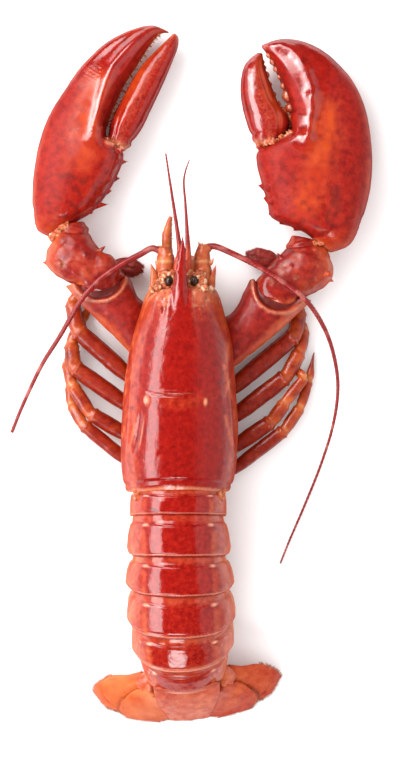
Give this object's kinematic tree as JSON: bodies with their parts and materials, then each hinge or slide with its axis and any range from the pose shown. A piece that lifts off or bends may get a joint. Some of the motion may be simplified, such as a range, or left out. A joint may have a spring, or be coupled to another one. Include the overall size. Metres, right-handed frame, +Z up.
{
  "type": "cooked lobster",
  "caption": "Whole cooked lobster with a red shell, a broad crusher claw, a slim cutter claw, long feelers and a tail curled under at its fan.",
  "frame": {"origin": "on the table, under the middle of the whole", "axes": "+Y to the claws' tips, +X to the lobster's right, +Z up from its back"},
  "size_m": [0.1523, 0.2941, 0.0445],
  "materials": {
    "body_shell": "smooth cooked shell, deep red on the back and orange at the flanks",
    "tail_shell": "smooth cooked shell, deep red on top and pale orange at the side flaps",
    "tail_fan": "thin orange shell with a fringe of bristles",
    "arm_shell": "cooked shell, red above and orange below",
    "claw_shell": "smooth cooked shell, red with orange mottling",
    "leg_shell": "thin cooked shell, red above and orange at the knees",
    "feeler": "ringed feeler, dull pinkish red",
    "feeler_base": "short orange shell with bristles",
    "face": "pale tan skin about the eyes",
    "eye": "glossy brown-black",
    "underside": "pale orange underside shell"
  },
  "bodies": {
    "root": {"carapace": "body_shell", "thorax": "underside", "face": "face", "somite_1": "tail_shell", "somite_2": "tail_shell", "somite_3": "tail_shell", "somite_4": "tail_shell", "somite_5": "tail_shell", "somite_6": "tail_shell", "telson": "tail_fan", "left_leg_1": "leg_shell", "left_leg_2": "leg_shell", "left_leg_3": "leg_shell", "left_leg_4": "leg_shell", "right_leg_1": "leg_shell", "right_leg_2": "leg_shell", "right_leg_3": "leg_shell", "right_leg_4": "leg_shell", "left_inner_blade": "tail_fan", "left_outer_blade": "tail_fan", "left_fan_stub": "tail_fan", "left_arm_merus": "arm_shell", "left_arm_carpus": "arm_shell", "left_claw": "claw_shell", "left_claw_thumb": "claw_shell", "left_eye": "eye", "left_feeler_base": "feeler_base", "left_feeler": "feeler", "left_small_feeler": "feeler", "left_scale": "feeler_base", "left_mouth_leg": "feeler_base", "right_inner_blade": "tail_fan", "right_outer_blade": "tail_fan", "right_fan_stub": "tail_fan", "right_arm_merus": "arm_shell", "right_arm_carpus": "arm_shell", "right_claw": "claw_shell", "right_claw_thumb": "claw_shell", "right_eye": "eye", "right_feeler_base": "feeler_base", "right_feeler": "feeler", "right_small_feeler": "feeler", "right_scale": "feeler_base", "right_mouth_leg": "feeler_base"}
  },
  "joints": []
}
